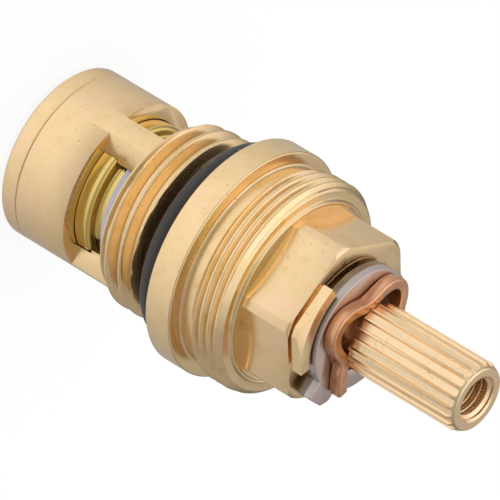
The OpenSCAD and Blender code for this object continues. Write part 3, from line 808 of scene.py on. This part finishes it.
def combined(base, steps):
    """Applies Booleans in order. Each step is an operation and a helper object, which is used up."""
    for operation, other in steps:
        modifier = base.modifiers.new("cut", "BOOLEAN")
        modifier.operation = operation
        modifier.solver = "EXACT"
        modifier.object = other
        bake(base)
        bpy.data.objects.remove(other)
    return base


def bake(thing):
    """Turns an object's modifiers into its mesh."""
    depsgraph = bpy.context.evaluated_depsgraph_get()
    mesh = bpy.data.meshes.new_from_object(thing.evaluated_get(depsgraph))
    thing.modifiers.clear()
    thing.data = mesh


def broken_edges(thing, width, angle=40, segments=2):
    """Bevels the edges that are sharper than an angle, then keeps the result."""
    modifier = thing.modifiers.new("bevel", "BEVEL")
    modifier.width = width * MM
    modifier.segments = segments
    modifier.limit_method = "ANGLE"
    modifier.angle_limit = math.radians(angle)
    modifier.use_clamp_overlap = True
    modifier.harden_normals = False
    bake(thing)


def made_piece(thing, name, material, body, nodes, sharp=32):
    """Takes a finished helper object's mesh as a piece of the scene."""
    mesh = thing.data
    bpy.data.objects.remove(thing)
    mesh.name = name
    return piece_of(mesh, name, material, body, nodes, sharp)


# %% Cage
bm = bmesh.new()
cage_top = tap_foot
outline = eased([(SPIGOT_R, cage_foot + 1), (SPIGOT_R, cage_foot), (CAGE_R - EDGE / 2, cage_foot),
                 (CAGE_R, cage_foot + EDGE / 2), (CAGE_R, cage_top - 0.2), (CAGE_R - 0.3, cage_top + 0.1),
                 (STEM_BORE_R + 0.6, cage_top + 0.1), (STEM_BORE_R + 0.6, bearing_face),
                 (THROAT_R, bearing_face), (THROAT_R, driver_foot + DRIVER_H), (CAGE_BORE_R, driver_foot + DRIVER_H),
                 (CAGE_BORE_R, disc_foot), (SPIGOT_R, disc_foot), (SPIGOT_R, cage_foot + 1)], 0.06, 4)
ring_patch(bm, outline, even_angles(256))
cage = cutter(bm)
steps = []
for index in range(WINDOW_COUNT):
    turn = WINDOW_TURN + 360 / WINDOW_COUNT * index
    steps.append(("DIFFERENCE", block((WINDOW_FLAT, -20, window_foot), (20, 40, WINDOW_H), turn)))
combined(cage, steps)
broken_edges(cage, 0.05)
made_piece(cage, "outlet_cage", brass_cast, "housing", ["body"])

# %% [markdown]
# ## The hexagon and its stop lug
# A spanner grips the hexagon, and one corner of it stands up as a lug that stops the washer's tabs.
# Each is a prism trimmed by a turned shape: the hexagon by the cone that chamfers its corners, the lug by
# a ring that hugs the washer. Intersections give the true curves where flats meet the turned cone.

# %% Hexagon
HEX_AF = 17.0
HEX_TURN = -7.5
HEX_BLUNT = 0.3
HEX_CHAMFER = 0.3
WASHER_R = 6.95
LUG_GAP = 0.3
LUG_TOP = 1.35
LUG_BEVEL = 30
LUG_SLOT = 0.5
LUG_NECK = 0.5
MARK_R = 7.1
LUG_LOW = -103.27
LUG_HIGH = -34.27
GUIDE_R = 4.94
hex_r = HEX_AF / 2 / math.cos(math.radians(30))
hex_end_r = hex_r - HEX_BLUNT
lug_in_r = WASHER_R + LUG_GAP


def prism(radius, foot, top, sides=6, turn=HEX_TURN):
    """An upright prism with its first corner at an angle in degrees."""
    angles = np.radians(turn + 360 / sides * np.arange(sides))
    bm = bmesh.new()
    ring_patch(bm, [(0, foot), (radius, foot), (radius, top), (0, top)], angles)
    return cutter(bm)


def turned_cutter(outline, count=192):
    """A solid of revolution for a Boolean."""
    bm = bmesh.new()
    ring_patch(bm, outline, even_angles(count))
    return cutter(bm)


def wedge(start, end, radius, foot, top, steps=8):
    """A sector of a cylinder between two angles in degrees."""
    bm = bmesh.new()
    rim = arc((0, 0), radius, start, end, steps)
    for height in (foot, top):
        bm.faces.new([bm.verts.new((x * MM, y * MM, height * MM)) for x, y in [(0, 0), *rim]])
    bm.verts.ensure_lookup_table()
    count = len(rim) + 1
    for index in range(count):
        after = (index + 1) % count
        bm.faces.new([bm.verts[index], bm.verts[after], bm.verts[after + count], bm.verts[index + count]])
    return cutter(bm)


hexagon = prism(hex_r, hex_foot - 0.1, front_face)
cone = turned_cutter([(0, hex_foot - 1), (hex_end_r, hex_foot - 1), (hex_end_r, front_face - HEX_CHAMFER),
                      (hex_end_r - HEX_CHAMFER, front_face), (hex_end_r - HEX_CHAMFER, front_face + 1),
                      (0, front_face + 1)])
combined(hexagon, [("INTERSECT", cone)])
lug = prism(hex_r, front_face - 0.3, lug_top + 0.1)
lug_flat_r = lug_in_r + LUG_TOP
lug_end = lug_top - (hex_end_r - lug_flat_r) * math.tan(math.radians(LUG_BEVEL))
hug = turned_cutter([(lug_in_r, front_face - 1), (lug_in_r + LUG_NECK, front_face - 1),
                     (lug_in_r + LUG_NECK, front_face + LUG_SLOT), (hex_end_r, front_face + LUG_SLOT),
                     (hex_end_r, lug_end), (lug_flat_r, lug_top), (lug_in_r, lug_top), (lug_in_r, front_face - 1)])
combined(lug, [("INTERSECT", hug), ("INTERSECT", wedge(LUG_LOW, LUG_HIGH, 20, front_face - 1, lug_top + 1))])
bore = turned_cutter([(0, hex_foot - 1), (GUIDE_R, hex_foot - 1), (GUIDE_R, front_face + 1), (0, front_face + 1)])
mark = turned_cutter([(MARK_R - 0.04, front_face - 0.04), (MARK_R + 0.04, front_face - 0.04),
                      (MARK_R + 0.04, front_face + 1), (MARK_R - 0.04, front_face + 1),
                      (MARK_R - 0.04, front_face - 0.04)])
combined(hexagon, [("UNION", lug), ("DIFFERENCE", bore), ("DIFFERENCE", mark)])
broken_edges(hexagon, 0.06, angle=20)
made_piece(hexagon, "hexagon_and_lug", brass_cast, "housing", ["body"], sharp=16)

# %% [markdown]
# ## The spindle
# The spindle is one turned bar. At its foot a round driver flange turns the upper ceramic disc, above it
# run the neck and the sealed shank inside the housing, and at the top stands the splined end that takes
# the tap's handle. The spline's grooves are part of the turned grid: its radius dips at twenty angles.
# The screw hole is a helical patch again, turned inside out.

# %% Spindle
DRIVER_R = 7.92
DRIVER_ROUND = 0.5
SHOULDER_R = 6.7
STEM_R = 6.0
JOURNAL_R = 4.9
STEM_CORD = 1.5
SPLINE_R = 3.9
SPLINE_ROOT_R = 3.5
SPLINE_TEETH = 20
SPLINE_TURN = 8.0
SPLINE_MOUTH = 1.00
SPLINE_FLOOR = 0.74
TIP_H = 0.8
TIP_R = 3.46
SCREW_R = 2.1
SCREW_ROOT_R = 2.5
SCREW_PITCH = 0.8
SCREW_H = 11.0
DRIVER_FLAT = 2.6
PORT_TURN = 60
BEARING_H = 5.0

slide_foot = low("slide_ring")
shoulder_top = slide_foot - FACE_GAP
stem_top = front_face - BEARING_H - 4 * FACE_GAP
driver_top = driver_foot + DRIVER_H


def spline_edges():
    """Half the angle that a groove takes at its floor and at its mouth, in degrees."""
    return (math.degrees(math.asin(SPLINE_FLOOR / 2 / SPLINE_ROOT_R)),
            math.degrees(math.asin(SPLINE_MOUTH / 2 / SPLINE_R)))


def spline_columns():
    """Angles that fall on the floors, walls and crests of the spline."""
    floor_half, mouth_half = spline_edges()
    step = 360 / SPLINE_TEETH
    side = [floor_half * share for share in (0.0, 0.4, 0.75, 0.95, 1.06)]
    side += [mouth_half - 0.3, mouth_half - 0.06, mouth_half + 0.12, mouth_half + 0.5, mouth_half + 1.4]
    places = sorted({-value for value in side} | set(side) | {step / 2})
    return np.radians(sorted(SPLINE_TURN - 180 + step * tooth + value
                             for tooth in range(SPLINE_TEETH) for value in places))


def spline_radius(angles):
    """Radius of the spline at each angle: narrow ridges between broad grooves with a hollow floor."""
    floor_half, mouth_half = spline_edges()
    step = 360 / SPLINE_TEETH
    away = np.degrees(angles) - SPLINE_TURN
    away = np.abs(away - np.round(away / step) * step)
    floor = SPLINE_ROOT_R + 0.1 + 0.04 * np.clip(away / floor_half, 0, 1) ** 2
    rise = np.clip((away - floor_half) / (mouth_half - floor_half), 0, 1)
    return floor + (SPLINE_R - floor) * rise


def oring_groove(z):
    """Outline of a groove that holds one of the stem's O-rings."""
    half = STEM_CORD / 2 + 2 * FACE_GAP
    return [(STEM_R, z - half), (STEM_R - STEM_CORD, z - half), (STEM_R - STEM_CORD, z + half), (STEM_R, z + half)]


def middle_height(node):
    """Height of the middle of a CAD node."""
    return (low(node) + high(node)) / 2


columns = spline_columns()
shank = [(0.0, driver_foot), (DRIVER_R, driver_foot)]
shank += arc((DRIVER_R - DRIVER_ROUND, driver_top - DRIVER_ROUND), DRIVER_ROUND, 0, 90, 8)
shank += arc((SHOULDER_R + DRIVER_ROUND, driver_top + DRIVER_ROUND), DRIVER_ROUND, 270, 180, 8)
shank += [(SHOULDER_R, shoulder_top), (STEM_R, shoulder_top)]
shank += oring_groove(middle_height("stem_oring_lower")) + oring_groove(middle_height("stem_oring_upper"))
shank += [(STEM_R, stem_top), (JOURNAL_R, stem_top), (JOURNAL_R, washer_foot), (SPLINE_ROOT_R - 0.04, washer_foot),
          (SPLINE_ROOT_R - 0.04, spline_foot)]
bm = bmesh.new()
ring_patch(bm, eased(shank, 0.05), columns)
foot_r = np.full_like(columns, SPLINE_ROOT_R - 0.04)
body_r = spline_radius(columns)
heights = [spline_foot, spline_foot, spline_foot + 0.12, tip_face - TIP_H]
heights += list(np.linspace(tip_face - TIP_H, tip_face - 0.05, 8)[1:]) + [tip_face]
cone_r = [SPLINE_R - (SPLINE_R - TIP_R) * max(0.0, (z - tip_face + TIP_H) / TIP_H) for z in heights]
table = [foot_r, np.minimum(body_r, SPLINE_R - 0.1)] + [np.minimum(body_r, limit) for limit in cone_r[2:]]
table[-1] = np.minimum(table[-1], TIP_R - 0.05)
radius = np.array(table)
height = np.repeat(np.array(heights)[:, None], len(columns), axis=1)
patch(bm, radius, height, columns)
hole_mouth = SCREW_ROOT_R + 0.08
flat_end = np.array([table[-1], np.full_like(columns, hole_mouth + 0.05), np.full_like(columns, hole_mouth)])
patch(bm, flat_end, np.array([[tip_face] * len(columns)] * 2 + [[tip_face - 0.05] * len(columns)]), columns)
hole_foot = tip_face - SCREW_H
screw_thread = (SCREW_PITCH, tip_face - 0.9, SCREW_R, SCREW_ROOT_R, 1 / 10, 3 / 8, 0.15, 0.3)
thread_patch(bm, hole_foot, tip_face - 0.05, screw_thread, columns, SCREW_ROOT_R, 1.0, hole_mouth, 1.2)
ring_patch(bm, [(SCREW_ROOT_R, hole_foot), (0.0, hole_foot - SCREW_R / 2)], columns)
bmesh.ops.remove_doubles(bm, verts=bm.verts, dist=2e-7)
spindle = cutter(bm)
opening = block((DRIVER_FLAT, -20, driver_foot - 1), (20, 40, shoulder_top - 0.5 - driver_foot + 1), PORT_TURN)
combined(spindle, [("DIFFERENCE", opening)])
made_piece(spindle, "spindle_turned", brass_stem, "stem", ["spindle"])

# %% [markdown]
# ## Stop washer
# The washer is stamped from sheet steel, so its rim has two bands: a smooth one where the punch sheared it
# and a rough one where it broke away. The smooth lower band is darker brown, partly its own tone and partly
# painted reflection of the brass beside it. Two tabs reach past the rim and meet the lug's ends.
# The plan is a polygon with an arc for the rim, raised to the sheet's thickness and softly beveled.

# %% Washer
TAB_REACH = 8.7
TAB_SIDE = 1.75
TAB_TURNS = [(0.0, 1), (82.46, -1)]
SEAT_R = 4.6
SEAT_FLATS = 8.0


def tab_points(turn, hand):
    """A tab's outline in plan, from one side of its root to the other, turned into place."""
    root = math.sqrt(WASHER_R ** 2 - TAB_SIDE ** 2)
    plan = [(root, -hand * TAB_SIDE), (TAB_REACH, -hand * TAB_SIDE), (TAB_REACH, hand * TAB_SIDE / 2),
            ((WASHER_R + TAB_REACH) / 2, hand * TAB_SIDE), (root, hand * TAB_SIDE)]
    plan = [tuple(point) for point in eased(plan, 0.25)]
    spin = Matrix.Rotation(math.radians(turn), 2)
    points = [spin @ Vector(point) for point in plan]
    return points if hand > 0 else list(reversed(points))


def raised(points, foot, top):
    """An upright solid on a plan of points, in millimetres."""
    bm = bmesh.new()
    base = [bm.verts.new((point[0] * MM, point[1] * MM, foot * MM)) for point in points]
    face = bm.faces.new(base)
    lifted = bmesh.ops.extrude_face_region(bm, geom=[face])
    moved = [item for item in lifted["geom"] if isinstance(item, bmesh.types.BMVert)]
    bmesh.ops.translate(bm, vec=(0, 0, (top - foot) * MM), verts=moved)
    return cutter(bm)


def washer_plan():
    """The washer's rim with its tabs, counter-clockwise."""
    half = math.degrees(math.asin(TAB_SIDE / WASHER_R))
    points = []
    for index, (turn, hand) in enumerate(TAB_TURNS):
        points += tab_points(turn, hand)
        after = TAB_TURNS[(index + 1) % len(TAB_TURNS)][0] + (360 if index == len(TAB_TURNS) - 1 else 0)
        points += arc((0, 0), WASHER_R, turn + half + 1, after - half - 1, 60)
    return points


washer = raised(washer_plan(), washer_foot, washer_top)
hole = turned_cutter([(0, washer_foot - 1), (SEAT_R + FACE_GAP, washer_foot - 1),
                      (SEAT_R + FACE_GAP, washer_top + 1), (0, washer_top + 1)], 96)
flats = block((-10, -SEAT_FLATS / 2 - FACE_GAP, washer_foot - 2), (20, SEAT_FLATS + 2 * FACE_GAP, 10))
combined(hole, [("INTERSECT", flats)])
combined(washer, [("DIFFERENCE", hole)])
broken_edges(washer, 0.12, segments=3)
made_piece(washer, "stop_washer_stamped", steel, "stem", ["stop_washer"])

# %% [markdown]
# ## Retaining clip
# A strip of spring bronze is bent into three lobes and snapped into a groove under the spline.
# It is a sweep: a rounded cross-section is carried along a closed formula for the lobes and turned to
# The two free ends are closed with flat caps, though a sheared and tumbled strip has them rounded off.

# %% Clip
CLIP_W = 1.2
CLIP_NECK_R = 4.1
CLIP_LOBE_R = 6.0
CLIP_STEP = 101.0
CLIP_FLARE = 0.9
CLIP_TURN = 52.0
CLIP_OPEN = 42.0
CLIP_ROUND = 0.25


def clip_point(angle):
    """Middle line of the strip at an angle in degrees, measured from the middle of its opening."""
    middle = (CLIP_LOBE_R + CLIP_NECK_R) / 2
    swing = (CLIP_LOBE_R - CLIP_NECK_R) / 2
    last_neck = 180 - CLIP_STEP
    near = max(0.0, (last_neck - abs(angle)) / (last_neck - CLIP_OPEN))
    wave = math.cos(math.radians(360 / CLIP_STEP * (180 - abs(angle))))
    radius = middle - swing * wave + CLIP_FLARE * near ** 2
    there = math.radians(angle + CLIP_TURN)
    return Vector((radius * math.cos(there), radius * math.sin(there)))


def clip_section():
    """Cross-section of the strip: width across, height along the axis, with rounded corners."""
    half_w, half_h = CLIP_W / 2, (clip_top - clip_foot) / 2
    outer = arc((half_w - CLIP_ROUND, half_h - CLIP_ROUND), CLIP_ROUND, 0, 90, 6)
    inner = arc((-half_w + 0.15, half_h - 0.15), 0.15, 90, 180, 4)
    foot = arc((-half_w + 0.15, -half_h + 0.15), 0.15, 180, 270, 4)
    heel = arc((half_w - 0.25, -half_h + 0.25), 0.25, 270, 360, 5)
    return [(half_w, 0.0), *outer, *inner, *foot, *heel]


def wrapped(angle):
    """The angle brought to between minus and plus half a turn."""
    return angle - 360 if angle > 180 else angle


def swept_clip():
    """Sweeps the section round the lobes and closes both ends."""
    section = clip_section()
    middle = (clip_foot + clip_top) / 2
    bm = bmesh.new()
    rings = []
    for angle in np.linspace(CLIP_OPEN, 360 - CLIP_OPEN, 181):
        centre = clip_point(wrapped(angle))
        along = clip_point(wrapped(angle + 0.5)) - clip_point(wrapped(angle - 0.5))
        side = Vector((along.y, -along.x)).normalized()
        rings.append([bm.verts.new(((centre.x + side.x * u) * MM, (centre.y + side.y * u) * MM, (middle + v) * MM))
                      for u, v in section])
    count = len(section)
    for one, two in zip(rings, rings[1:]):
        for k in range(count):
            bm.faces.new((one[k], one[(k + 1) % count], two[(k + 1) % count], two[k]))
    bm.faces.new(rings[0])
    bm.faces.new(rings[-1])
    return bm


solid(swept_clip(), "retaining_clip_bent", copper, "stem", ["retaining_clip"], sharp=50)

# %% [markdown]
# ## Discs and slide ring
# The ceramic discs and the slide ring are plain solids that only peep out through the windows and the
# inlet. Their CAD shapes are right, so they stay, and only get their own material.

# %% Carried-over nodes
# The slide ring's grey is painted shade on white plastic.
for node, material in [("fixed_disc", fixed_ceramic), ("moving_disc", moving_ceramic),
                       ("slide_ring", grey_plastic)]:
    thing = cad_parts[node]
    thing.data.materials.clear()
    thing.data.materials.append(material)
